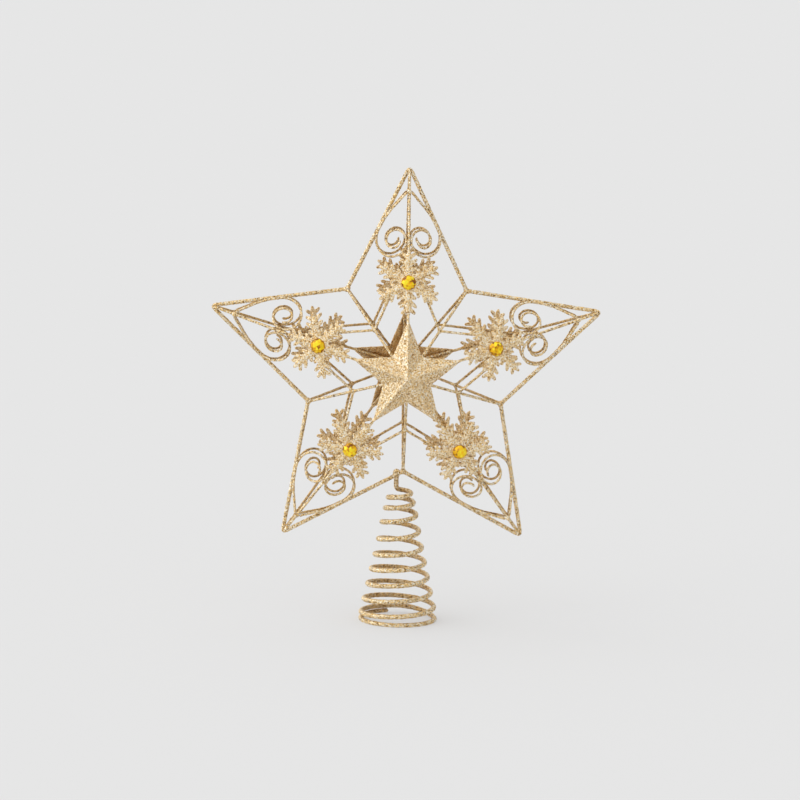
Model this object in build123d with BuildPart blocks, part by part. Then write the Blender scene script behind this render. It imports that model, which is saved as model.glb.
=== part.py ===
from build123d import *
import math
import os

# Tree topper: a hollow five point star of welded wire, front and back alike, on a sprung cone of wire.
# Millimetres, +Z up, -Y to the front. The origin lies on the floor below the middle of the star.

# Star frame
point_count = 5
tip_radius = 132.0
valley_radius = 66.4
apex_depth = 36.0
outline_wire = 2.4
rib_wire = 1.7
rod_sides = 6
tip_blunt = 1.3
mitre_overrun = 5.0
spine_inner_radius = 2.2
weld_gap = 0.1

# Inner star between the ribs and the spines
lattice_wire = 1.6
lattice_valley_radius = 35.9
lattice_tip_setback = 54.0

# Scroll hearts on the facets of each point
scroll_wire = 1.5
scroll_sides = 4
scroll_apex = 14.5
scroll_touch = 32.5
scroll_leave = 43.0
scroll_spine_gap = 0.2
scroll_half_turn_share = 0.67
scroll_steps = 16
scroll_step_angle = 36.0

# Snowflakes on the spines, and their stones
flake_arms = 6
flake_reach = 22.0
flake_shell_gap = 0.3
flake_sheet = 1.0
flake_core_radius = 6.4
flake_stem = 2.4
flake_barb_width = 1.5
flake_barb_angle = 52.0
flake_barb_length_shares = (0.21, 0.24, 0.19)
flake_barb_place_shares = (0.36, 0.56, 0.76)
gem_diameter = 9.6
gem_sides = 8
gem_girdle = 1.0
gem_crown = 2.8
gem_crown_inset = 2.2

# Embossed star shells over the middle
shell_tip_radius = 37.9
shell_valley_radius = 16.7
shell_rise = 13.0
shell_wall = 0.9

# Coil that goes over the top of the tree
coil_wire = 2.75
coil_sides = 5
coil_top_radius = 6.6
coil_base_radius = 24.2
coil_flare = 1.1
coil_start_height = 86.1
coil_pitch_place_shares = (0.0, 0.22, 0.33, 0.55, 0.78, 0.945, 1.0)
coil_pitch_shares = (0.42, 0.72, 1.0, 0.82, 0.88, 0.78, 0.05)
coil_turn_gap = 0.65
coil_open_steps = 36
coil_cone_steps = 34
coil_flat_steps = 3
coil_end_share = 0.85
coil_bend_radius = 2.9
coil_flat_share = 0.1
coil_step_angle = 90.0
stem_length = 12.5
stem_offset = 4.2
stem_gap = 0.32
stem_overrun = 1.0

point_angle = 360 / point_count
star_height = coil_start_height + stem_length + valley_radius
flake_radius = shell_tip_radius + flake_shell_gap + flake_reach
lattice_tip_radius = tip_radius - lattice_tip_setback
front, back = 1, -1


def unit(angle):
    """Direction in the star's plane, clockwise from the top as seen from the front."""
    return Vector(math.sin(math.radians(angle)), 0, math.cos(math.radians(angle)))


def clockwise(angle):
    """Direction across that one, the way the star's points are counted."""
    return unit(angle + 90)


def spot(radius, angle, depth):
    """A point of the star, a distance out from its centre and towards the front."""
    return unit(angle) * radius + Vector(0, -depth, star_height)


def seat_depth(reach):
    """Depth at the outline of a wire that climbs from there to the apex and just clears the outline."""
    return ((outline_wire + rib_wire) / 2 + weld_gap) / math.cos(math.atan(apex_depth / reach))


def on_wire(reach, radius, angle, side):
    """A point on the axis of a spine or a rib, which reaches from the apex to the outline."""
    seat = seat_depth(reach)
    return spot(radius, angle, side * (seat + (apex_depth - seat) * (1 - radius / reach)))


def on_spine(radius, angle, side):
    return on_wire(tip_radius, radius, angle, side)


def on_rib(radius, angle, side):
    return on_wire(valley_radius, radius, angle, side)


def save(piece, label):
    """Labels a finished piece and writes it."""
    piece.part.label = label
    export_step(piece.part, f"parts/{label}.step")


def straight_wire(start, end, diameter):
    """A wire with square ends from one point to another."""
    with BuildPart() as wire:
        with BuildSketch(Plane(origin=start, z_dir=end - start)):
            RegularPolygon(diameter / 2, rod_sides)
        extrude(amount=(end - start).length)
    return wire


def outline_rod(tip_angle, hand):
    """One edge of the star, mitred against its neighbours at the tip and at the valley."""
    valley_angle = tip_angle + hand * point_angle / 2
    tip, valley = spot(tip_radius, tip_angle, 0), spot(valley_radius, valley_angle, 0)
    along = (valley - tip).normalized()
    with BuildPart() as rod:
        with BuildSketch(Plane(origin=tip - along * mitre_overrun, z_dir=along)):
            RegularPolygon(outline_wire / 2, rod_sides)
        extrude(amount=(valley - tip).length + 2 * mitre_overrun)
        split(bisect_by=Plane(origin=tip, z_dir=clockwise(tip_angle) * hand))
        split(bisect_by=Plane(origin=valley, z_dir=clockwise(valley_angle) * -hand))
        blunt_end = spot(tip_radius + tip_blunt, tip_angle, 0)
        split(bisect_by=Plane(origin=blunt_end, z_dir=-unit(tip_angle)))
    return rod


def weld_setback(wire_direction, host_direction):
    """How far short of the host's axis a lattice wire stops, so that its end rests on the host."""
    angle = math.radians(wire_direction.get_angle(host_direction))
    angle = min(angle, math.pi - angle)
    return (rib_wire / 2 + lattice_wire / 2 * math.cos(angle) + weld_gap) / math.sin(angle)


def lattice_ends(tip_angle, hand, side):
    """Both ends of an inner star wire, from a valley rib to a spine."""
    valley_angle = tip_angle + hand * point_angle / 2
    foot = on_rib(lattice_valley_radius, valley_angle, side)
    head = on_spine(lattice_tip_radius, tip_angle, side)
    along = (head - foot).normalized()
    rib_direction = foot - on_rib(0, valley_angle, side)
    spine_direction = head - on_spine(0, tip_angle, side)
    foot_end = foot + along * weld_setback(along, rib_direction)
    return foot_end, head - along * weld_setback(along, spine_direction)


def facet_plane(tip_angle, hand, side):
    """The facet between a spine and one edge of the outline, X down the spine and Y to the edge."""
    edge = (spot(tip_radius, 0, 0) - spot(valley_radius, point_angle / 2, 0)).length
    edge_distance = tip_radius * valley_radius * math.sin(math.radians(point_angle / 2)) / edge
    tilt = math.atan(apex_depth / edge_distance)
    seat = ((outline_wire + scroll_wire) / 2 + weld_gap) / math.cos(tilt)
    tip = on_spine(tip_radius, tip_angle, side)
    valley_depth = 2 * seat - seat_depth(tip_radius)
    valley = spot(valley_radius, tip_angle + hand * point_angle / 2, side * valley_depth)
    down = (on_spine(0, tip_angle, side) - tip).normalized()
    return Plane(origin=tip, x_dir=down, z_dir=down.cross(valley - tip)), down.get_angle(valley - tip)


def scroll_left_share(turn):
    """Share of a spiral's first radius that is left after a turn in degrees."""
    return scroll_half_turn_share ** (turn / 180)


def scroll_lean():
    """Angle in degrees by which a spiral of that kind heads inwards of a circle."""
    return math.degrees(math.atan(-math.log(scroll_half_turn_share) / math.pi))


def scroll_outer_radius(edge_angle):
    """Radius at which a spiral that starts on the edge just clears the spine where it comes past it."""
    edge_height = scroll_leave * math.sin(math.radians(edge_angle))
    room = edge_height - (rib_wire + scroll_wire) / 2 - scroll_spine_gap
    start_share = math.cos(math.radians(edge_angle + scroll_lean()))
    return room / (start_share + scroll_left_share(edge_angle + 180) * math.cos(math.radians(scroll_lean())))


def scroll_points(edge_angle):
    """One half of a heart on its facet: down from the spine, along the edge, then round in a spiral."""
    edge = Vector(math.cos(math.radians(edge_angle)), math.sin(math.radians(edge_angle)))
    first_heading = edge_angle + 90 + scroll_lean()
    spiral = []
    for step in range(scroll_steps + 1):
        turn = step * scroll_step_angle
        radius = scroll_outer_radius(edge_angle) * scroll_left_share(turn)
        heading = math.radians(first_heading - turn)
        spiral.append(Vector(math.cos(heading), math.sin(heading)) * radius)
    centre = edge * scroll_leave - spiral[0]
    apex = Vector(scroll_apex, (rib_wire + scroll_wire) / 2 + weld_gap)
    return [apex, edge * scroll_touch] + [centre + point for point in spiral]


def scroll_heart(tip_angle, side):
    """A left and a right scroll, bent over the spine like an open book."""
    with BuildPart() as heart:
        for hand in (1, -1):
            plane, edge_angle = facet_plane(tip_angle, hand, side)
            with BuildLine() as path:
                Polyline(*[plane.from_local_coords(point) for point in scroll_points(edge_angle)])
            with BuildSketch(Plane(origin=path.line @ 0, z_dir=path.line % 0)):
                RegularPolygon(scroll_wire / 2, scroll_sides)
            sweep(transition=Transition.RIGHT)
    return heart


def flake_plane(tip_angle, side, lift):
    """A plane along the spine and across the point, lifted off the spine's axis."""
    outward = (on_spine(tip_radius, tip_angle, side) - on_spine(0, tip_angle, side)).normalized()
    facing = clockwise(tip_angle).cross(outward) * side
    origin = on_spine(flake_radius, tip_angle, side) + facing * lift
    return Plane(origin=origin, x_dir=outward, z_dir=facing)


def flake_arm():
    """Outline of one arm, a stem with barbs that lean to its tip, from one side round to the other."""
    lean = math.radians(flake_barb_angle)
    forward = Vector(math.cos(lean), math.sin(lean))
    side = [Vector(0, flake_stem / 2)]
    for place, length in zip(flake_barb_place_shares, flake_barb_length_shares):
        root = Vector(place * flake_reach, flake_stem / 2)
        width = Vector(flake_barb_width / math.sin(lean), 0)
        side += [root, root + width / 2 + forward * (length * flake_reach), root + width]
    return side + [Vector(flake_reach, 0)] + [Vector(point.X, -point.Y) for point in reversed(side)]


def snowflake(tip_angle, side):
    with BuildPart() as flake:
        with BuildSketch(flake_plane(tip_angle, side, rib_wire / 2 + weld_gap)):
            RegularPolygon(flake_core_radius, flake_arms)
            with PolarLocations(0, flake_arms):
                Polygon(*flake_arm(), align=None)
        extrude(amount=flake_sheet)
    return flake


def gem(plane):
    """A stone with a flat back, its crown cut all round down to the girdle."""
    with BuildPart() as stone:
        with BuildSketch(plane):
            RegularPolygon(gem_diameter / 2, gem_sides)
        extrude(amount=gem_girdle + gem_crown)
        table = stone.faces().sort_by(Axis(plane.origin, plane.z_dir))[-1]
        chamfer(table.edges(), length=gem_crown_inset, length2=gem_crown, reference=table)
    return stone


def gems(side):
    """The stones of one side, each glued to the middle of its snowflake."""
    with BuildPart() as stones:
        for point in range(point_count):
            add(gem(flake_plane(point * point_angle, side, rib_wire / 2 + weld_gap + flake_sheet)).part)
    return stones


def shell_outline():
    """Corners of the five point star shell, clockwise from its top tip."""
    corners = []
    for point in range(point_count):
        corners.append(spot(shell_tip_radius, point * point_angle, 0))
        corners.append(spot(shell_valley_radius, (point + 1 / 2) * point_angle, 0))
    return corners


def shell_rim_depth():
    """Depth of the shell's rim, at which the inside of its ridges just clears the spines."""
    tip, peak = spot(shell_tip_radius, 0, 0), spot(0, 0, shell_rise)
    valley = spot(shell_valley_radius, point_angle / 2, 0)
    facing = (valley - tip).cross(peak - tip).normalized()
    touch_radius = shell_tip_radius * (1 - shell_wall / shell_rise)
    spine_depth = -on_spine(touch_radius, 0, front).Y
    return spine_depth + (rib_wire / 2 + weld_gap) / abs(facing.Y)


def star_shell(side):
    """A hollow star pyramid, open to the middle of the cage."""
    rim = shell_rim_depth()
    with BuildPart() as shell:
        for depth, mode in ((rim, Mode.ADD), (rim - shell_wall, Mode.SUBTRACT)):
            with BuildSketch(Plane.XZ.offset(side * depth)) as base:
                with BuildLine():
                    Polyline(*[(corner.X, corner.Z) for corner in shell_outline()], close=True)
                make_face()
            peak = Vertex(0, -side * (depth + shell_rise), star_height)
            loft(sections=[base.sketch.faces()[0], peak], ruled=True, mode=mode)
    return shell


def pitch_share(place):
    """Pitch at a place down the open turns, as a share of the widest."""
    stretches = list(zip(coil_pitch_place_shares, coil_pitch_shares))
    for (start, before), (end, after) in zip(stretches, stretches[1:]):
        if place <= end:
            return before + (after - before) * (place - start) / (end - start)


def coil_pitches():
    """Pitch at each quarter turn, so that the open turns end one wire above the flat ring."""
    shares = [pitch_share(step / coil_open_steps) for step in range(coil_open_steps + 1)]
    drop = coil_start_height - coil_ring_height() - coil_wire - coil_turn_gap
    widest = drop * 360 / coil_step_angle / running_sum(shares)[-1]
    return [widest * share for share in shares]


def running_sum(values):
    """Sums of the means of neighbours, from zero."""
    sums = [0]
    for before, after in zip(values, values[1:]):
        sums.append(sums[-1] + (before + after) / 2)
    return sums


def coil_ring_height():
    """Height of the wire's axis in the last turn, which is cut flat where it stands."""
    return coil_wire / 2 - coil_flat_share * coil_wire


def coil_stations():
    """Place and heading of the wire at each quarter turn, about the coil's own axis."""
    pitches = coil_pitches()
    drops = [total * coil_step_angle / 360 for total in running_sum(pitches)]
    whole_steps = coil_open_steps + coil_flat_steps
    stations = []
    for step in [*range(whole_steps + 1), whole_steps + coil_end_share]:
        grown = min(step / coil_cone_steps, 1)
        radius = coil_top_radius + (coil_base_radius - coil_top_radius) * grown**coil_flare
        growth = (radius - coil_top_radius) * coil_flare / step if 0 < grown < 1 else 0
        opened = step <= coil_open_steps
        height = coil_start_height - drops[step] if opened else coil_ring_height()
        pitch = pitches[step] if opened else 0
        angle = math.radians(90 - step * coil_step_angle)
        out = Vector(math.cos(angle), math.sin(angle))
        onward = Vector(math.sin(angle), -math.cos(angle)) * (radius * math.radians(coil_step_angle))
        spread = out * growth
        down = Vector(0, 0, -pitch * coil_step_angle / 360)
        stations.append((out * radius + Vector(0, 0, height), (onward + spread + down).normalized()))
    return stations


def stem_shift(heading):
    """From the foot of the stem to the start of the first turn, round the bend between them."""
    down = Vector(0, 0, -1)
    half_angle = math.radians(down.get_angle(heading)) / 2
    return (down + heading) * (coil_bend_radius * math.tan(half_angle))


def biarc_joint(start, start_heading, end, end_heading):
    """The point where two arcs meet that join two places with the headings there."""
    span = end - start
    headings = start_heading + end_heading
    a = 2 * (start_heading.dot(end_heading) - 1)
    b = -2 * span.dot(headings)
    c = span.dot(span)
    reach = (-b - math.sqrt(b * b - 4 * a * c)) / (2 * a)
    return (start + start_heading * reach + end - end_heading * reach) / 2


def coil():
    stations = coil_stations()
    first, heading = stations[0]
    stem_y = (outline_wire + coil_wire) / 2 + stem_gap
    stem_foot = Vector(-stem_offset, stem_y, (first - stem_shift(heading)).Z)
    axis = stem_foot + stem_shift(heading) - first
    edge_slope = spot(tip_radius, point_angle / 2, 0) - spot(valley_radius, 0, 0)
    valley = spot(valley_radius, 180, 0)
    outline_height = valley.Z - stem_offset * edge_slope.Z / edge_slope.X
    stem_top = Vector(stem_foot.X, stem_foot.Y, outline_height + outline_wire / 2 + stem_overrun)
    with BuildPart() as spring:
        with BuildLine() as path:
            Line(stem_top, stem_foot)
            TangentArc(stem_foot, first + axis, tangent=Vector(0, 0, -1))
            for (start, ahead), (end, onward) in zip(stations, stations[1:]):
                joint = biarc_joint(start, ahead, end, onward)
                half = TangentArc(start + axis, joint + axis, tangent=ahead)
                TangentArc(half @ 1, end + axis, tangent=half % 1)
        with BuildSketch(Plane(origin=stem_top, z_dir=Vector(0, 0, -1))):
            RegularPolygon(coil_wire / 2, coil_sides)
        sweep()
        split(bisect_by=Plane.XY)
    wire = path.wire()
    print("coil axis", round(axis.X, 2), round(axis.Y, 2), "least gap to itself", round(least_gap(wire), 2))
    print("coil length", round(wire.length, 1), "volume", round(spring.part.volume, 1))
    return spring


def least_gap(line):
    """Smallest clear distance between two stretches of the coil's wire, from points along it."""
    count = round(line.length / coil_wire * 2)
    points = [tuple(line @ (index / count)) for index in range(count + 1)]
    apart = round(math.pi * coil_top_radius / (line.length / count))
    nearest = line.length
    for index, point in enumerate(points):
        for other in points[index + apart :]:
            nearest = min(nearest, math.dist(point, other))
    return nearest - coil_wire


os.makedirs("parts", exist_ok=True)

for point in range(point_count):
    angle = point * point_angle
    save(outline_rod(angle, 1), f"outline_rod_{point + 1}_right")
    save(outline_rod(angle, -1), f"outline_rod_{point + 1}_left")

for side, layer in ((front, "front"), (back, "back")):
    for point in range(point_count):
        angle = point * point_angle
        spine = straight_wire(
            on_spine(tip_radius, angle, side), on_spine(spine_inner_radius, angle, side), rib_wire
        )
        save(spine, f"{layer}_spine_{point + 1}")
        valley = angle + point_angle / 2
        rib = straight_wire(
            on_rib(valley_radius, valley, side), on_rib(shell_valley_radius, valley, side), rib_wire
        )
        save(rib, f"{layer}_valley_rib_{point + 1}")
        save(scroll_heart(angle, side), f"{layer}_scroll_heart_{point + 1}")
        save(snowflake(angle, side), f"{layer}_snowflake_{point + 1}")
    with BuildPart() as inner_star:
        for point in range(point_count):
            for hand in (1, -1):
                add(straight_wire(*lattice_ends(point * point_angle, hand, side), lattice_wire).part)
    save(inner_star, f"{layer}_inner_star")
    save(gems(side), f"{layer}_gems")
    save(star_shell(side), f"{layer}_star_shell")

save(coil(), "coil_base")
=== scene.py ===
import math

import bpy
import numpy as np
from mathutils import Matrix, Vector


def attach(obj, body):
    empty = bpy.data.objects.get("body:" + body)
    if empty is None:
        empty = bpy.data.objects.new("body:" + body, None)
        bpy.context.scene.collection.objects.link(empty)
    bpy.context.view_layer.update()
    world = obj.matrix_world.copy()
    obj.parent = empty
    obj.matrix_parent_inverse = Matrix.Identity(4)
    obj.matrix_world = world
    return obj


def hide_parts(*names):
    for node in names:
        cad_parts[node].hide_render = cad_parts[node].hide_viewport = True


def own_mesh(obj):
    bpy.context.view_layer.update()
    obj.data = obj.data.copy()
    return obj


# Tree topper: a hollow star of glittered wire, front and back alike, on a sprung cone of wire.
# Metres, +Z up, -Y to the front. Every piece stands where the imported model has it.

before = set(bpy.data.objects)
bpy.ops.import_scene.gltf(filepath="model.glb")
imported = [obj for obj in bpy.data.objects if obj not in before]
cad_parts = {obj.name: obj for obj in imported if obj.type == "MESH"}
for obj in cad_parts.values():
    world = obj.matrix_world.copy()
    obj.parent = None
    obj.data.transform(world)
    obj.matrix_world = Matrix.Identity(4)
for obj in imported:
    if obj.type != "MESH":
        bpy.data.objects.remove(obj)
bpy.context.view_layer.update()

mm = 0.001
front, back = 1, -1
right, left = 1, -1

# Star frame
point_count = 5
point_angle = 360 / point_count
tip_radius = 132.0 * mm
valley_radius = 66.4 * mm
apex_depth = 36.0 * mm
outline_wire = 2.4 * mm
tip_spread = 0.9 * mm
rib_wire = 1.7 * mm
spine_inner_radius = 2.2 * mm
rib_inner_radius = 12.5 * mm
weld_gap = 0.1 * mm

# Inner star
lattice_wire = 1.6 * mm
lattice_valley_radius = 35.9 * mm
lattice_tip_radius = tip_radius - 54.0 * mm

# Scroll hearts
scroll_wire = 1.5 * mm
scroll_apex = 14.5 * mm
scroll_touch = 32.5 * mm
scroll_leave = 43.0 * mm
scroll_spine_gap = 0.2 * mm
scroll_half_turn_share = 0.67
scroll_turn = 576.0
scroll_step_angle = 6.0
scroll_bend_reach = 7.0 * mm

# Snowflakes: heights are shares of the sheet, places and lengths are shares of an arm
shell_tip_radius = 37.9 * mm
flake_arms = 6
flake_reach = 22.0 * mm
flake_radius = shell_tip_radius + 0.3 * mm + flake_reach
flake_sheet = 1.0 * mm
flake_core_radius = 6.4 * mm
flake_core_height_share = 1.2
flake_inner_end_share = 0.55
flake_stem = 2.6 * mm
flake_stem_height_share = 1.7
flake_stem_outer_share = 0.5
flake_barb = 2.8 * mm
flake_barb_tip = 2.2 * mm
flake_barb_height_share = 1.2
flake_barb_angle = 48.0
flake_barb_place_shares = (0.28, 0.50, 0.72)
flake_barb_length_shares = (0.25, 0.28, 0.23)
flake_barb_droop = 1.3 * mm
flake_arm_droop = 1.2 * mm
flake_web = 6.4 * mm
flake_web_tip = 2.8 * mm
flake_web_height_share = 0.8
flake_web_outer_share = 0.45
flake_web_end_share = 0.9
flake_lift = rib_wire / 2 + weld_gap + flake_sheet / 2
leaf_rings = 9
leaf_sides = 12
leaf_end_power = 5
leaf_least_swell = 0.02

# Stones: tones are painted reflections of the facets, from 0 for the deepest colour to 1 for the palest
stone_radius = 4.8 * mm
stone_girdle = 1.0 * mm
stone_height = 3.8 * mm
stone_table_share = 0.54
stone_break_share = 0.78
stone_break_height_share = 0.58
stone_sides = 8
stone_lift = rib_wire / 2 + weld_gap + flake_sheet
stone_table_tone = 0.64
stone_star_tone = 0.62
stone_kite_tone = 0.50
stone_rim_tone = 0.30
stone_tone_spread = 0.25

# Coil
coil_wire = 2.75 * mm
coil_top_radius = 6.6 * mm
coil_base_radius = 24.2 * mm
coil_flare = 1.1
coil_start_height = 86.1 * mm
coil_start_angle = 90.0
coil_pitch_place_shares = (0.0, 0.22, 0.33, 0.55, 0.78, 0.945, 1.0)
coil_pitch_shares = (0.42, 0.72, 1.0, 0.82, 0.88, 0.78, 0.05)
coil_turn_gap = 0.65 * mm
coil_open_steps = 36
coil_cone_steps = 34
coil_flat_steps = 3
coil_end_share = 0.85
coil_step_angle = 90.0
coil_parts_per_step = 24
coil_bend_radius = 2.9 * mm
coil_flat_share = 0.1
coil_ring_height = coil_wire / 2 - coil_flat_share * coil_wire
stem_length = 12.5 * mm
stem_offset = 4.2 * mm
stem_gap = 0.32 * mm
stem_overrun = 1.0 * mm

star_height = coil_start_height + stem_length + valley_radius
stem_depth = (outline_wire + coil_wire) / 2 + stem_gap

# Wires: parts of a bend, fewest sides, shares of the width at a domed end, and the cap on that end
bend_parts = 12
tube_least_sides = 8
tube_dome_shares = (0.45, 0.85)
tube_cap_share = 1 / 6
tube_level_limit = 0.9

# Weld beads: half sizes outwards, across and to the front
tip_bead = (1.4 * mm, 1.9 * mm, 2.7 * mm)
valley_bead = (1.9 * mm, 2.3 * mm, 3.0 * mm)
stem_bead = (2.4 * mm, 2.9 * mm, 2.4 * mm)
stem_bead_lift = 0.8 * mm
heart_bead = (1.9 * mm, 1.5 * mm, 1.2 * mm)
lattice_bead = (1.6 * mm, 1.6 * mm, 1.4 * mm)
bead_least_rings = 4

# Glitter coat: its thickness on the wires, the size of its grains, and how far they stand in and out
thin_coat = 0.05 * mm
outline_coat = 0.10 * mm
coil_coat = 0.22 * mm
grain_size = 0.55 * mm
grain_depth = 0.12 * mm
sheet_grain_size = 0.42 * mm
sheet_grain_depth = 0.10 * mm

# Painted shade on inner sides: how much darker they are, near the middle of the star and further out
inner_shade_steepness = 2
sheet_inner_shade_reach = (12.0 * mm, 32.0 * mm)
sheet_inner_shade_share = (1.0, 0.2)
wire_inner_shade_share = 0.8
spine_inner_shade_reach = (26.0 * mm, 38.0 * mm)
spine_inner_shade_share = (0.3, wire_inner_shade_share)
coil_inner_shade_share = 0.7

# Flakes of the glitter: spans of chance in which they turn from painted shade to body and from body to
# painted glint
clump_scale = 700
clump_detail = 2
clump_spread = (-0.24, 0.24)
noise_span = (0.3, 0.7)
shade_to_body = (0.08, 0.42)
body_to_glint = (0.54, 0.84)
body_and_glint_roughness = (0.50, 0.18)
glitter_constants = {"Metallic": 0.75}

# Amber: colours by tone, painted reflections of the facets
stone_constants = {"Metallic": 0.3, "Roughness": 0.1, "Specular IOR Level": 0.12,
                   "Coat Weight": 0.35, "Coat Roughness": 0.03}
stone_depth_scale = 450
stone_depth_spread = (-0.2, 0.2)
stone_colours = ((0.12, (0.26, 0.08, 0.002, 1)), (0.5, (0.94, 0.495, 0.004, 1)),
                 (0.88, (1.0, 0.81, 0.025, 1)))

# Floor, light and camera
floor_half = 40.0
floor_constants = {"Base Color": (0.71, 0.71, 0.71, 1), "Roughness": 0.9, "Specular IOR Level": 0.0}
floor_glow = (0.79, 0.79, 0.79, 1)
floor_glow_share = 0.5
world_strength = (0.42, 1.22)
world_bright_side = Vector((-0.80, 0.05, 0.60)).normalized()
sun_heading = Vector((0.85, 0.05, -0.6))
sun_strength = 0.75
sun_angle = math.radians(70)
camera_distance = 2.112
camera_azimuth = math.radians(-2.37)
camera_elevation = math.radians(8.26)
camera_roll = math.radians(1.25)
camera_target = Vector((-0.003, 0, 0.146))
lens_length = 145
sensor_width = 36

random_draw = np.random.default_rng(20)


def unit(angle):
    """Direction in the star's plane, clockwise from the top as seen from the front."""
    return Vector((math.sin(math.radians(angle)), 0, math.cos(math.radians(angle))))


def spot(radius, angle, depth):
    """A point of the star, a distance out from its centre and towards the front."""
    return unit(angle) * radius + Vector((0, -depth, star_height))


def seat_depth(reach):
    """Depth at the outline of a wire that climbs from there to the apex and just clears the outline."""
    return ((outline_wire + rib_wire) / 2 + weld_gap) / math.cos(math.atan(apex_depth / reach))


def on_wire(reach, radius, angle, side):
    """A point on the axis of a spine or a rib, which reaches from the apex to the outline."""
    seat = seat_depth(reach)
    return spot(radius, angle, side * (seat + (apex_depth - seat) * (1 - radius / reach)))


def on_spine(radius, angle, side):
    return on_wire(tip_radius, radius, angle, side)


def on_rib(radius, angle, side):
    return on_wire(valley_radius, radius, angle, side)


# Meshes


def new_piece(name, points, faces, body, material, slot, *nodes):
    """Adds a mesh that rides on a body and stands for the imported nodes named."""
    mesh = bpy.data.meshes.new(name)
    mesh.from_pydata([tuple(point) for point in points], [], [tuple(face) for face in faces])
    mesh.validate()
    mesh.update()
    piece = bpy.data.objects.new(name, mesh)
    bpy.context.scene.collection.objects.link(piece)
    piece.data.materials.append(material)
    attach(piece, body)
    if nodes:
        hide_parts(*nodes)
    return piece


def shade_inner_side(piece, inward, share):
    """Marks painted shade where a piece faces inwards: how strongly its colour is darkened there."""
    normals = np.zeros(len(piece.data.vertices) * 3)
    piece.data.vertex_normals.foreach_get("vector", normals)
    facing = np.clip(inner_shade_steepness * (normals.reshape(-1, 3) * inward).sum(axis=1), 0, 1)
    mark = piece.data.attributes.new("inner_side", "FLOAT", "POINT")
    mark.data.foreach_set("value", facing * share)


def middle_distances(points):
    """How far points are from the middle of the star, as seen from the front."""
    from_middle = np.array([tuple(point) for point in points]) - (0, 0, star_height)
    return np.linalg.norm(from_middle[:, [0, 2]], axis=1)


def joined(parts):
    """One list of points and one of faces from several."""
    points, faces = [], []
    for part_points, part_faces in parts:
        offset = len(points)
        points.extend(part_points)
        faces.extend([tuple(index + offset for index in face) for face in part_faces])
    return points, faces


def moved(shape, matrix):
    points, faces = shape
    return [matrix @ Vector(point) for point in points], faces


def evenly(path, spacing):
    """Points a set distance apart along a path, its ends among them."""
    path = np.array([tuple(point) for point in path])
    run = np.concatenate([[0], np.cumsum(np.linalg.norm(np.diff(path, axis=0), axis=1))])
    stops = np.linspace(0, run[-1], max(2, round(run[-1] / spacing) + 1))
    return np.stack([np.interp(stops, run, path[:, axis]) for axis in range(3)], axis=1)


def rounded(start, corner, end):
    """Points of a smooth bend that leaves one run and joins the next, inside their corner."""
    shares = np.linspace(0, 1, bend_parts)[:, None]
    return start * (1 - shares) ** 2 + corner * 2 * shares * (1 - shares) + end * shares**2


def headings(path):
    """Unit directions along a path."""
    along = np.gradient(path, axis=0)
    return along / np.linalg.norm(along, axis=1)[:, None]


def grain_tube(path, wire, coat):
    """A glittered wire: a tube of small facets, each vertex a little in or out, with domed ends."""
    diameter = wire + 2 * coat
    path = evenly(path, grain_size)
    along = headings(path)
    sides = max(tube_least_sides, round(math.pi * diameter / grain_size))
    runs_level = abs(along[0][1]) < tube_level_limit
    across = np.cross(along[0], (0, 1, 0) if runs_level else (1, 0, 0))
    dome = np.array(tube_dome_shares)
    shrink = np.concatenate([dome, np.ones(len(path) - 2 * len(dome)), dome[::-1]])
    points, faces = [], []
    for ring, (centre, direction) in enumerate(zip(path, along)):
        across = across - direction * across.dot(direction)
        across = across / np.linalg.norm(across)
        upward = np.cross(direction, across)
        turn = (np.arange(sides) + ring % 2 / 2) * 2 * math.pi / sides
        radius = diameter / 2 * shrink[ring] + random_draw.normal(0, grain_depth / 2, sides)
        outward = np.outer(np.cos(turn), across) + np.outer(np.sin(turn), upward)
        points.extend(centre + radius[:, None] * outward)
    for ring in range(len(path) - 1):
        here, there = ring * sides, (ring + 1) * sides
        for side in range(sides):
            after = (side + 1) % sides
            if ring % 2:
                faces.append((here + side, here + after, there + after))
                faces.append((here + side, there + after, there + side))
            else:
                faces.append((here + side, here + after, there + side))
                faces.append((here + after, there + after, there + side))
    last = (len(path) - 1) * sides
    cap = diameter * tube_cap_share
    points.extend([path[0] - along[0] * cap, path[-1] + along[-1] * cap])
    for side in range(sides):
        after = (side + 1) % sides
        faces.append((len(points) - 2, after, side))
        faces.append((len(points) - 1, last + side, last + after))
    return points, faces


def grain_bead(centre, radii, axes):
    """A weld bead under its glitter: a lumpy ellipsoid on the given axes."""
    rings = max(bead_least_rings, round(math.pi * max(radii) / grain_size))
    sides = 2 * rings
    centre = np.array(tuple(centre))
    axes = np.array([tuple(axis) for axis in axes])
    points, faces = [], []
    for ring in range(rings + 1):
        lift = math.pi * ring / rings
        for side in range(sides if 0 < ring < rings else 1):
            turn = 2 * math.pi * (side + ring % 2 / 2) / sides
            wide = math.sin(lift)
            local = np.array((wide * math.cos(turn), wide * math.sin(turn), math.cos(lift)))
            grown = 1 + random_draw.normal(0, grain_depth / 2) / max(radii)
            points.append(centre + (local * np.array(radii) * grown) @ axes)
    last = 1 + (rings - 2) * sides
    for side in range(sides):
        after = (side + 1) % sides
        faces.append((0, 1 + side, 1 + after))
        faces.append((last + sides, last + after, last + side))
        for ring in range(rings - 2):
            here, there = 1 + ring * sides, 1 + (ring + 1) * sides
            faces.append((here + side, there + side, there + after))
            faces.append((here + side, there + after, here + after))
    return points, faces


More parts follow.
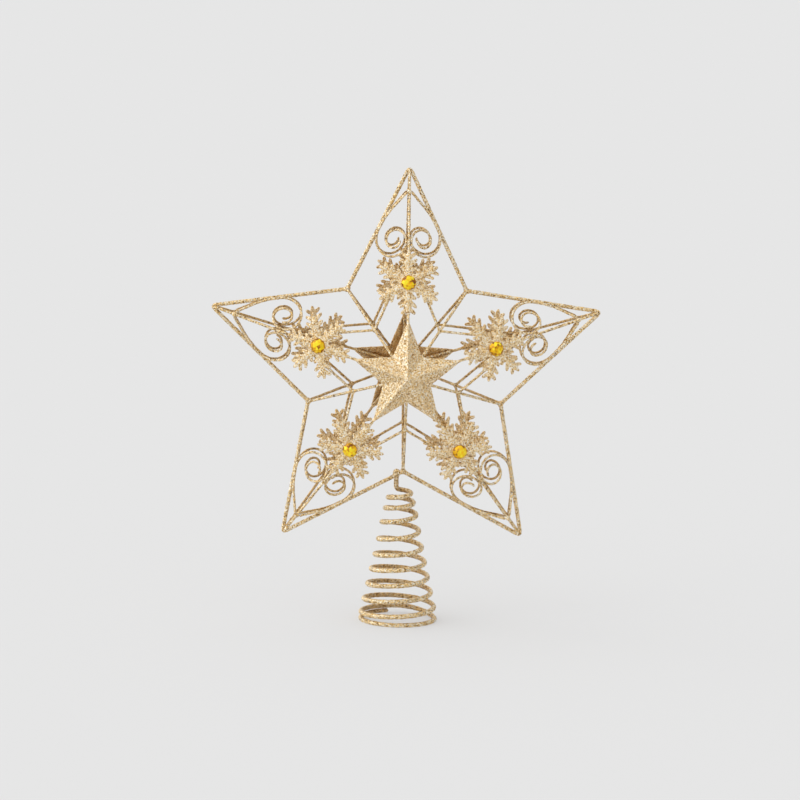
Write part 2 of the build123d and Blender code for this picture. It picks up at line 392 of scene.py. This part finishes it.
def grain_skin(points, faces, size, depth):
    """One closed skin of even facets round some closed shapes, each vertex a little in or out."""
    mesh = bpy.data.meshes.new("skin")
    mesh.from_pydata([tuple(point) for point in points], [], faces)
    shape = bpy.data.objects.new("skin", mesh)
    bpy.context.scene.collection.objects.link(shape)
    remesh = shape.modifiers.new("skin", "REMESH")
    remesh.mode = "VOXEL"
    remesh.voxel_size = size
    depsgraph = bpy.context.evaluated_depsgraph_get()
    grown = bpy.data.meshes.new_from_object(shape.evaluated_get(depsgraph))
    count = len(grown.vertices)
    places, normals = np.zeros(count * 3), np.zeros(count * 3)
    grown.vertices.foreach_get("co", places)
    grown.vertex_normals.foreach_get("vector", normals)
    places, normals = places.reshape(-1, 3), normals.reshape(-1, 3)
    skin_faces = [tuple(face.vertices) for face in grown.polygons]
    bpy.data.objects.remove(shape)
    bpy.data.meshes.remove(mesh)
    bpy.data.meshes.remove(grown)
    return places + normals * random_draw.normal(0, depth / 2, count)[:, None], skin_faces


# Wires and weld beads of the star


def lattice_ends(tip_angle, hand, side):
    """Both ends of an inner star wire, on the axes of a valley rib and a spine."""
    foot = on_rib(lattice_valley_radius, tip_angle + hand * point_angle / 2, side)
    return foot, on_spine(lattice_tip_radius, tip_angle, side)


def facet_axes(tip_angle, hand, side):
    """The facet between a spine and an edge of the outline: its tip, down the spine, across, its angle."""
    edge = (spot(tip_radius, 0, 0) - spot(valley_radius, point_angle / 2, 0)).length
    edge_distance = tip_radius * valley_radius * math.sin(math.radians(point_angle / 2)) / edge
    tilt = math.atan(apex_depth / edge_distance)
    seat = ((outline_wire + scroll_wire) / 2 + weld_gap) / math.cos(tilt)
    tip = on_spine(tip_radius, tip_angle, side)
    valley_depth = 2 * seat - seat_depth(tip_radius)
    valley = spot(valley_radius, tip_angle + hand * point_angle / 2, side * valley_depth)
    down = (on_spine(0, tip_angle, side) - tip).normalized()
    across = (valley - tip) - down * (valley - tip).dot(down)
    return tip, down, across.normalized(), down.angle(valley - tip)


def scroll_path(edge_angle):
    """One half of a heart on its facet: down from the spine, along the edge, then round in a spiral."""
    edge = np.array((math.cos(edge_angle), math.sin(edge_angle)))
    lean = math.atan(-math.log(scroll_half_turn_share) / math.pi)
    passed_share = scroll_half_turn_share ** ((math.degrees(edge_angle) + 180) / 180)
    room = scroll_leave * edge[1] - (rib_wire + scroll_wire) / 2 - scroll_spine_gap
    outer = room / (math.cos(edge_angle + lean) + passed_share * math.cos(lean))
    turned = np.radians(np.linspace(0, scroll_turn, round(scroll_turn / scroll_step_angle)))
    heading = edge_angle + math.pi / 2 + lean - turned
    radius = outer * scroll_half_turn_share ** (turned / math.pi)
    spiral = np.stack([np.cos(heading), np.sin(heading)], axis=1) * radius[:, None]
    apex = np.array((scroll_apex, (rib_wire + scroll_wire) / 2 + weld_gap))
    bend = edge * scroll_touch
    bend_start = bend + (apex - bend) * scroll_bend_reach / np.linalg.norm(apex - bend)
    bend_end = bend + edge * scroll_bend_reach
    return [apex, *rounded(bend_start, bend, bend_end), *(edge * scroll_leave - spiral[0] + spiral)]


def scroll_tube(tip_angle, hand, side):
    tip, down, across, edge_angle = facet_axes(tip_angle, hand, side)
    path = [tip + down * float(x) + across * float(y) for x, y in scroll_path(edge_angle)]
    return grain_tube(path, scroll_wire, thin_coat)


def bead_axes(angle):
    """Outwards, across and to the back, at an angle round the star."""
    return unit(angle), unit(angle + 90), (0, 1, 0)


def outline_beads():
    """Weld beads at the tips and the valleys of the outline, over the ends of the spines and ribs."""
    beads = []
    for point in range(point_count):
        angle = point * point_angle
        valley_angle = (point + 0.5) * point_angle
        beads.append(grain_bead(spot(tip_radius, angle, 0), tip_bead, bead_axes(angle)))
        beads.append(grain_bead(spot(valley_radius, valley_angle, 0), valley_bead, bead_axes(valley_angle)))
    stem_weld = (-stem_offset, stem_depth / 2, stem_weld_height() + stem_bead_lift)
    beads.append(grain_bead(stem_weld, stem_bead, ((1, 0, 0), (0, 0, 1), (0, 1, 0))))
    return joined(beads)


def layer_beads(side):
    """Weld beads of one layer: the tops of its hearts, and the corners of its inner star."""
    beads = []
    for point in range(point_count):
        angle = point * point_angle
        valley_angle = angle + point_angle / 2
        tip, down = facet_axes(angle, right, side)[:2]
        lattice_tip = on_spine(lattice_tip_radius, angle, side)
        lattice_valley = on_rib(lattice_valley_radius, valley_angle, side)
        beads.append(grain_bead(tip + down * scroll_apex, heart_bead, bead_axes(angle)))
        beads.append(grain_bead(lattice_tip, lattice_bead, bead_axes(angle)))
        beads.append(grain_bead(lattice_valley, lattice_bead, bead_axes(valley_angle)))
    return joined(beads)


# Snowflakes and stones


def flake_matrix(tip_angle, side, lift):
    """Places a shape drawn in XY on the spine: X outwards, Z away from the cage."""
    outward = (on_spine(tip_radius, tip_angle, side) - on_spine(0, tip_angle, side)).normalized()
    facing = unit(tip_angle + 90).cross(outward) * side
    origin = on_spine(flake_radius, tip_angle, side) + facing * lift
    axes = Matrix((outward, facing.cross(outward), facing)).transposed()
    return Matrix.Translation(origin) @ axes.to_4x4()


def squared_off(part):
    """A cosine or sine, swollen so that a circle becomes a square with round corners."""
    return math.copysign(math.sqrt(abs(part)), part)


def leaf(start, end, width, end_width, height):
    """A flat rod with round ends: one vein or barb of a stamped snowflake, which may slope."""
    start, end = np.array(start), np.array(end)
    along = (end - start) / np.linalg.norm(end - start)
    across = np.array((-along[1], along[0], 0)) / math.hypot(along[0], along[1])
    points, faces = [], []
    for ring in range(leaf_rings):
        share = ring / (leaf_rings - 1)
        reach = math.cos(math.pi * share)
        swell = math.sqrt(max(leaf_least_swell, 1 - abs(reach) ** leaf_end_power))
        centre = (start + end) / 2 - (end - start) / 2 * reach
        half = (width + (end_width - width) * share) / 2 * swell
        for side in range(leaf_sides):
            turn = 2 * math.pi * side / leaf_sides
            wide, high = squared_off(math.cos(turn)), squared_off(math.sin(turn))
            points.append(centre + across * half * wide + np.array((0, 0, height / 2 * swell * high)))
    for ring in range(leaf_rings - 1):
        here, there = ring * leaf_sides, (ring + 1) * leaf_sides
        for side in range(leaf_sides):
            after = (side + 1) % leaf_sides
            faces.append((here + side, here + after, there + after, there + side))
    faces.append(tuple(reversed(range(leaf_sides))))
    faces.append(tuple(range((leaf_rings - 1) * leaf_sides, leaf_rings * leaf_sides)))
    return points, faces


def along_arm(share):
    """A point on the middle line of a snowflake's arm, which droops outwards."""
    return np.array((share * flake_reach, 0, -flake_arm_droop * share**2))


def arm_strips():
    """The strips of one arm: stem and web, each in two lengths, and the barbs in pairs."""
    stem_height = flake_sheet * flake_stem_height_share
    web_height = flake_sheet * flake_web_height_share
    barb_height = flake_sheet * flake_barb_height_share
    root, inner_end = along_arm(0), along_arm(flake_inner_end_share)
    web_start, web_end = along_arm(flake_web_outer_share), along_arm(flake_web_end_share)
    strips = [(root, inner_end, flake_stem, flake_stem, stem_height),
              (along_arm(flake_stem_outer_share), along_arm(1), flake_stem, flake_stem, stem_height),
              (root, inner_end, flake_web, flake_web, web_height),
              (web_start, web_end, flake_web, flake_web_tip, web_height)]
    lean = math.radians(flake_barb_angle)
    for place, length in zip(flake_barb_place_shares, flake_barb_length_shares):
        barb_root = along_arm(place)
        reach = length * flake_reach + flake_stem / 2
        for hand in (right, left):
            slope = np.array((math.cos(lean) * reach, hand * math.sin(lean) * reach, -flake_barb_droop))
            strips.append((barb_root, barb_root + slope, flake_barb, flake_barb_tip, barb_height))
    return strips


def flake_shape():
    """A stamped snowflake in XY, before its coat: six feathered arms that droop from a domed middle."""
    core = 2 * flake_core_radius
    core_ends = (-flake_core_radius, 0, 0), (flake_core_radius, 0, 0)
    parts = [leaf(*core_ends, core, core, flake_sheet * flake_core_height_share)]
    strips = arm_strips()
    for arm in range(flake_arms):
        turn = 2 * math.pi * arm / flake_arms
        cosine, sine = math.cos(turn), math.sin(turn)
        spin = np.array(((cosine, sine, 0), (-sine, cosine, 0), (0, 0, 1)))
        for start, end, width, end_width, height in strips:
            parts.append(leaf(start @ spin, end @ spin, width, end_width, height))
    return joined(parts)


def stone_shape():
    """A round cut stone with a flat back: table, star facets, kites and girdle facets, and their tones."""
    count, step = stone_sides, math.pi / stone_sides
    break_height = stone_girdle + (stone_height - stone_girdle) * stone_break_height_share

    def ring(radius, height, corners, offset):
        turns = [offset + 2 * math.pi * corner / corners for corner in range(corners)]
        return [(radius * math.cos(turn), radius * math.sin(turn), height) for turn in turns]

    points = ring(stone_radius * stone_table_share, stone_height, count, 0)
    points += ring(stone_radius * stone_break_share, break_height, count, step)
    points += ring(stone_radius, stone_girdle, 2 * count, 0)
    points += ring(stone_radius, 0, 2 * count, 0)
    points.append((0, 0, stone_height))
    mid, girdle, foot, centre = count, 2 * count, 4 * count, 6 * count
    faces, tones = [], []
    for corner in range(count):
        after, before = (corner + 1) % count, (corner - 1) % count
        first_girdle = girdle + 2 * corner
        next_girdle = girdle + (2 * corner + 2) % (2 * count)
        faces.append((centre, corner, after))
        faces.append((corner, mid + corner, after))
        faces.append((corner, mid + before, first_girdle, mid + corner))
        faces.append((mid + corner, first_girdle, first_girdle + 1))
        faces.append((mid + corner, first_girdle + 1, next_girdle))
        tones += [stone_table_tone, stone_star_tone, stone_kite_tone, stone_rim_tone, stone_rim_tone]
    for corner in range(2 * count):
        after = (corner + 1) % (2 * count)
        faces.append((girdle + corner, foot + corner, foot + after, girdle + after))
        tones.append(stone_rim_tone)
    faces.append(tuple(reversed(range(foot, foot + 2 * count))))
    tones.append(stone_rim_tone)
    return (points, faces), tones


# Coil


def coil_turns():
    """Points of the wire's turns about the coil's own axis, from the top down to the flat ring."""
    last_step = coil_open_steps + coil_flat_steps + coil_end_share
    steps = np.linspace(0, last_step, round(last_step * coil_parts_per_step) + 1)
    opened = np.minimum(steps / coil_open_steps, 1)
    shares = np.interp(opened, coil_pitch_place_shares, coil_pitch_shares)
    fallen = np.concatenate([[0], np.cumsum((shares[1:] + shares[:-1]) / 2 * np.diff(opened))])
    last_drop = coil_wire + coil_turn_gap
    drop = coil_start_height - coil_ring_height - last_drop
    closing = np.clip(steps - coil_open_steps, 0, 1)
    closed = closing**2 * (3 - 2 * closing)
    height = coil_start_height - drop * fallen / fallen[-1] - last_drop * closed
    grown = np.minimum(steps / coil_cone_steps, 1) ** coil_flare
    radius = coil_top_radius + (coil_base_radius - coil_top_radius) * grown
    turn = np.radians(coil_start_angle - steps * coil_step_angle)
    return np.stack([radius * np.cos(turn), radius * np.sin(turn), height], axis=1)


def stem_weld_height():
    """Height at which the stem passes behind the outline of the star."""
    edge_slope = spot(tip_radius, point_angle / 2, 0) - spot(valley_radius, 0, 0)
    return spot(valley_radius, 180, 0).z - stem_offset * edge_slope.z / edge_slope.x


def coil_path():
    """The whole wire: stem, bend and turns."""
    turns = coil_turns()
    heading = headings(turns)[0]
    down = np.array((0, 0, -1.0))
    bend = coil_bend_radius * math.tan(math.acos(down.dot(heading)) / 2)
    foot_height = (turns[0] - (down + heading) * bend)[2]
    foot = np.array((-stem_offset, stem_depth, foot_height))
    axis = foot + (down + heading) * bend - turns[0]
    top = np.array((foot[0], foot[1], stem_weld_height() + outline_wire / 2 + stem_overrun))
    return [top, *rounded(foot, foot + down * bend, turns[0] + axis), *(turns[1:] + axis)]


def coil_shape():
    """The coil under its glitter, flat where it stands."""
    points, faces = grain_tube(coil_path(), coil_wire, coil_coat)
    return [(x, y, max(z, 0)) for x, y, z in points], faces


# Finishes


def shader_node(tree, kind, given, **settings):
    """Adds a node and returns its outputs. Each input is given a constant or another node's output."""
    node = tree.nodes.new(kind)
    for setting, value in settings.items():
        setattr(node, setting, value)
    for name, value in given.items():
        if isinstance(value, bpy.types.NodeSocket):
            tree.links.new(value, node.inputs[name])
        else:
            node.inputs[name].default_value = value
    return node.outputs


def spanned(tree, value, start, end):
    """A value carried over from one span to another."""
    spans = {"From Min": start[0], "From Max": start[1], "To Min": end[0], "To Max": end[1]}
    return shader_node(tree, "ShaderNodeMapRange", {"Value": value, **spans})["Result"]


def mixed(tree, share, first, second, way="MIX"):
    """Two colours mixed, by a share of the second."""
    colours = {"Factor": share, "A": first, "B": second}
    return shader_node(tree, "ShaderNodeMix", colours, data_type="RGBA", blend_type=way)["Result"]


def reckoned(tree, way, first, second):
    """Two values put together."""
    return shader_node(tree, "ShaderNodeMath", {0: first, 1: second}, operation=way)["Value"]


def new_finish(name, constants):
    """A material, and its shader with the constants set."""
    material = bpy.data.materials.new(name)
    material.use_nodes = True
    shader = material.node_tree.nodes["Principled BSDF"]
    for socket, value in constants.items():
        shader.inputs[socket].default_value = value
    return material, shader


def glitter_group():
    """Flakes of glitter at random tilts, painted shade on inner sides: each flake's colour, roughness and
    normal.
    """
    group = bpy.data.node_groups.new("glitter_flakes", "ShaderNodeTree")
    for name in ("Flake Scale", "Tilt"):
        group.interface.new_socket(name, in_out="INPUT", socket_type="NodeSocketFloat")
    for name in ("Shade", "Body", "Glint", "Inner Shade Tint"):
        group.interface.new_socket(name, in_out="INPUT", socket_type="NodeSocketColor")
    group.interface.new_socket("Color", in_out="OUTPUT", socket_type="NodeSocketColor")
    group.interface.new_socket("Roughness", in_out="OUTPUT", socket_type="NodeSocketFloat")
    group.interface.new_socket("Normal", in_out="OUTPUT", socket_type="NodeSocketVector")
    given = shader_node(group, "NodeGroupInput", {})
    place = shader_node(group, "ShaderNodeTexCoord", {})["Object"]
    flakes = shader_node(group, "ShaderNodeTexVoronoi", {"Vector": place, "Scale": given["Flake Scale"]})
    chance = shader_node(group, "ShaderNodeSeparateColor", {"Color": flakes["Color"]})["Red"]

    clumps = shader_node(group, "ShaderNodeTexNoise",
                         {"Vector": place, "Scale": clump_scale, "Detail": clump_detail})["Fac"]
    level = reckoned(group, "ADD", chance, spanned(group, clumps, noise_span, clump_spread))
    whole = (0, 1)
    # Painted shade and painted glints: random flakes turn darker or paler than the body.
    glinting = spanned(group, level, body_to_glint, whole)
    flat = mixed(group, spanned(group, level, shade_to_body, whole), given["Shade"], given["Body"])
    coated = mixed(group, glinting, flat, given["Glint"])
    # Painted shade: the colour of inner sides is multiplied by the inner-shade tint.
    inner_side = shader_node(group, "ShaderNodeAttribute", {}, attribute_name="inner_side")["Fac"]
    colour = mixed(group, inner_side, coated, given["Inner Shade Tint"], "MULTIPLY")
    roughness = spanned(group, glinting, whole, body_and_glint_roughness)

    centred = shader_node(group, "ShaderNodeVectorMath", {0: flakes["Color"], 1: (0.5, 0.5, 0.5)},
                          operation="SUBTRACT")["Vector"]
    tilted = shader_node(group, "ShaderNodeVectorMath", {0: centred, "Scale": given["Tilt"]},
                         operation="SCALE")["Vector"]
    surface = shader_node(group, "ShaderNodeNewGeometry", {})["Normal"]
    leaning = shader_node(group, "ShaderNodeVectorMath", {0: surface, 1: tilted}, operation="ADD")["Vector"]
    normal = shader_node(group, "ShaderNodeVectorMath", {0: leaning}, operation="NORMALIZE")["Vector"]
    shader_node(group, "NodeGroupOutput", {"Color": colour, "Roughness": roughness, "Normal": normal})
    return group


def glitter_finish(name, group, flakes_per_mm, tilt, shade, body, glint, inner_shade_tint):
    """Glitter of body colour with painted shade and glints on random flakes, inner_shade_tint on inner
    sides.
    """
    material, shader = new_finish(name, glitter_constants)
    values = {"Flake Scale": flakes_per_mm / mm, "Tilt": tilt, "Shade": (*shade, 1), "Body": (*body, 1),
              "Glint": (*glint, 1), "Inner Shade Tint": (*inner_shade_tint, 1)}
    coat = shader_node(material.node_tree, "ShaderNodeGroup", values, node_tree=group)
    links = material.node_tree.links
    links.new(coat["Color"], shader.inputs["Base Color"])
    links.new(coat["Roughness"], shader.inputs["Roughness"])
    links.new(coat["Normal"], shader.inputs["Normal"])
    return material


def stone_finish():
    """Amber stone, foil backed: each facet's tone is painted as its reflection; gloss and coat are real."""
    material, shader = new_finish("amber_stone", stone_constants)
    tree = material.node_tree
    tone = shader_node(tree, "ShaderNodeAttribute", {}, attribute_name="facet_tone")["Fac"]
    place = shader_node(tree, "ShaderNodeTexCoord", {})["Object"]
    depth = shader_node(tree, "ShaderNodeTexNoise", {"Vector": place, "Scale": stone_depth_scale})["Fac"]
    ramp = tree.nodes.new("ShaderNodeValToRGB")
    ramp.color_ramp.elements.new(stone_colours[1][0])
    for element, (position, colour) in zip(ramp.color_ramp.elements, stone_colours):
        element.position = position
        element.color = colour
    level = reckoned(tree, "ADD", tone, spanned(tree, depth, noise_span, stone_depth_spread))
    tree.links.new(level, ramp.inputs["Fac"])
    tree.links.new(ramp.outputs["Color"], shader.inputs["Base Color"])
    return material


glitter = glitter_group()
# Shade and glint colours are painted shade and glints; the inner-shade tint is painted shade on inner
# sides.
wire_glitter = glitter_finish(
    "gold_glitter_wire", glitter, flakes_per_mm=2.0, tilt=1.0,
    shade=(0.20, 0.098, 0.024), body=(0.93, 0.65, 0.27),
    glint=(1.0, 0.955, 0.80), inner_shade_tint=(0.67, 0.56, 0.42))
sheet_glitter = glitter_finish(
    "gold_glitter_sheet", glitter, flakes_per_mm=2.2, tilt=0.8,
    shade=(0.38, 0.20, 0.06), body=(0.93, 0.68, 0.325),
    glint=(1.0, 0.95, 0.80), inner_shade_tint=(0.80, 0.63, 0.39))
amber = stone_finish()


# Pieces


def star_wire(name, shape, *nodes):
    return new_piece(name, *shape, "star", wire_glitter, "gold_glitter_wire", *nodes)


def layer_wire(name, shape, side, *nodes, inner_shade_share=wire_inner_shade_share):
    """Wire of the front or the back layer of the star, with painted shade on its side towards the other
    layer.
    """
    shade_inner_side(star_wire(name, shape, *nodes), np.array((0, side, 0)), inner_shade_share)


def stamping(name, shape, outward, node):
    """A stamped sheet under its glitter, painted shade on its inner side, deepest near the middle of the
    star.
    """
    points, faces = grain_skin(*shape, sheet_grain_size, sheet_grain_depth)
    piece = new_piece(name, points, faces, "star", sheet_glitter, "gold_glitter_sheet", node)
    inner_shade_share = np.interp(middle_distances(points), sheet_inner_shade_reach, sheet_inner_shade_share)
    shade_inner_side(piece, -np.array(tuple(outward)), inner_shade_share)


for point in range(point_count):
    angle = point * point_angle
    for hand, hand_name in ((right, "right"), (left, "left")):
        tip = spot(tip_radius, angle, 0) + unit(angle + 90) * hand * tip_spread
        valley = spot(valley_radius, angle + hand * point_angle / 2, 0)
        node = f"outline_rod_{point + 1}_{hand_name}"
        star_wire(node + "_wire", grain_tube([tip, valley], outline_wire, outline_coat), node)

star_wire("outline_weld_beads", outline_beads())

flake = flake_shape()
stone, stone_tones = stone_shape()
for side, layer in ((front, "front"), (back, "back")):
    for point in range(point_count):
        angle = point * point_angle
        valley_angle = angle + point_angle / 2
        number = point + 1
        spine_ends = [on_spine(tip_radius, angle, side), on_spine(spine_inner_radius, angle, side)]
        spine = grain_tube(spine_ends, rib_wire, thin_coat)
        # Painted shade on the spine's inner side, fainter near the middle of the star.
        inner_shade_share = np.interp(middle_distances(spine[0]), spine_inner_shade_reach, spine_inner_shade_share)
        layer_wire(f"{layer}_spine_{number}_wire", spine, side, f"{layer}_spine_{number}",
                   inner_shade_share=inner_shade_share)
        rib_ends = [on_rib(valley_radius, valley_angle, side), on_rib(rib_inner_radius, valley_angle, side)]
        rib = grain_tube(rib_ends, rib_wire, thin_coat)
        layer_wire(f"{layer}_valley_rib_{number}_wire", rib, side, f"{layer}_valley_rib_{number}")
        heart = joined([scroll_tube(angle, hand, side) for hand in (right, left)])
        layer_wire(f"{layer}_scroll_heart_{number}_wire", heart, side, f"{layer}_scroll_heart_{number}")
        place = flake_matrix(angle, side, flake_lift)
        stamping(f"{layer}_snowflake_{number}_stamping", moved(flake, place), place.col[2].xyz,
                 f"{layer}_snowflake_{number}")

    lattice = joined([grain_tube(lattice_ends(point * point_angle, hand, side), lattice_wire, thin_coat)
                      for point in range(point_count) for hand in (right, left)])
    layer_wire(f"{layer}_inner_star_wires", lattice, side, f"{layer}_inner_star")
    layer_wire(f"{layer}_weld_beads", layer_beads(side), side)

    stones = joined([moved(stone, flake_matrix(point * point_angle, side, stone_lift))
                     for point in range(point_count)])
    stone_piece = new_piece(f"{layer}_stones", *stones, "star", amber, "amber_stone", f"{layer}_gems")
    tone = stone_piece.data.attributes.new("facet_tone", "FLOAT", "FACE")
    tones = np.tile(stone_tones, point_count)
    tone.data.foreach_set("value", tones + random_draw.normal(0, stone_tone_spread, len(tones)))

    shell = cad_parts[f"{layer}_star_shell"].data
    shell_points = [vertex.co.copy() for vertex in shell.vertices]
    shell_shape = shell_points, [tuple(face.vertices) for face in shell.polygons]
    stamping(f"{layer}_star_shell_stamping", shell_shape, (0, -side, 0), f"{layer}_star_shell")

coil = new_piece("coil_wire", *coil_shape(), "coil", wire_glitter, "gold_glitter_wire", "coil_base")
# Painted shade on the inner side of the coil, which faces its axis.
coil_points = np.array([tuple(vertex.co) for vertex in coil.data.vertices])
to_axis = -coil_points * (1, 1, 0) / np.linalg.norm(coil_points[:, :2], axis=1)[:, None]
shade_inner_side(coil, to_axis, coil_inner_shade_share)
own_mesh(coil)


# Floor, light and camera


def floor_finish():
    """Pale floor, which the camera and the gloss of the object see with a fainter shadow."""
    material, shader = new_finish("pale_floor", floor_constants)
    tree = material.node_tree
    glow = shader_node(tree, "ShaderNodeEmission", {"Color": floor_glow})["Emission"]
    ray = shader_node(tree, "ShaderNodeLightPath", {})
    gloss = reckoned(tree, "MAXIMUM", ray["Is Glossy Ray"], ray["Is Transmission Ray"])
    seen = reckoned(tree, "MAXIMUM", ray["Is Camera Ray"], gloss)
    share = reckoned(tree, "MULTIPLY", seen, floor_glow_share)
    blend = shader_node(tree, "ShaderNodeMixShader", {"Fac": share, 1: shader.outputs["BSDF"], 2: glow})
    tree.links.new(blend["Shader"], tree.nodes["Material Output"].inputs["Surface"])
    return material


def studio_world():
    """Soft light all round, brighter from the upper left."""
    world = bpy.data.worlds.new("studio")
    world.use_nodes = True
    tree = world.node_tree
    place = shader_node(tree, "ShaderNodeTexCoord", {})["Generated"]
    facing = shader_node(tree, "ShaderNodeVectorMath", {0: place, 1: world_bright_side},
                         operation="DOT_PRODUCT")["Value"]
    light = tree.nodes["Background"]
    light.inputs["Color"].default_value = (1, 1, 1, 1)
    tree.links.new(spanned(tree, facing, (-1, 1), world_strength), light.inputs["Strength"])
    return world


floor_corners = [(-floor_half, -floor_half, 0), (floor_half, -floor_half, 0),
                 (floor_half, floor_half, 0), (-floor_half, floor_half, 0)]
floor_mesh = bpy.data.meshes.new("floor")
floor_mesh.from_pydata(floor_corners, [], [(0, 1, 2, 3)])
floor = bpy.data.objects.new("floor", floor_mesh)
bpy.context.scene.collection.objects.link(floor)
floor_mesh.materials.append(floor_finish())

bpy.context.scene.world = studio_world()

sun = bpy.data.lights.new("key", "SUN")
sun.energy = sun_strength
sun.angle = sun_angle
key = bpy.data.objects.new("key", sun)
key.rotation_euler = sun_heading.to_track_quat("-Z", "Y").to_euler()
bpy.context.scene.collection.objects.link(key)

lens = bpy.data.cameras.new("camera")
lens.lens = lens_length
lens.sensor_width = sensor_width
camera = bpy.data.objects.new("camera", lens)
level_reach = math.cos(camera_elevation)
backward = Vector((math.sin(camera_azimuth) * level_reach, -math.cos(camera_azimuth) * level_reach,
                   math.sin(camera_elevation)))
facing = (-backward).to_track_quat("-Z", "Y").to_matrix().to_4x4()
camera.matrix_world = (Matrix.Translation(camera_target + backward * camera_distance) @ facing
                       @ Matrix.Rotation(camera_roll, 4, "Z"))
bpy.context.scene.collection.objects.link(camera)
bpy.context.scene.camera = camera
bpy.context.scene.view_settings.view_transform = "Standard"
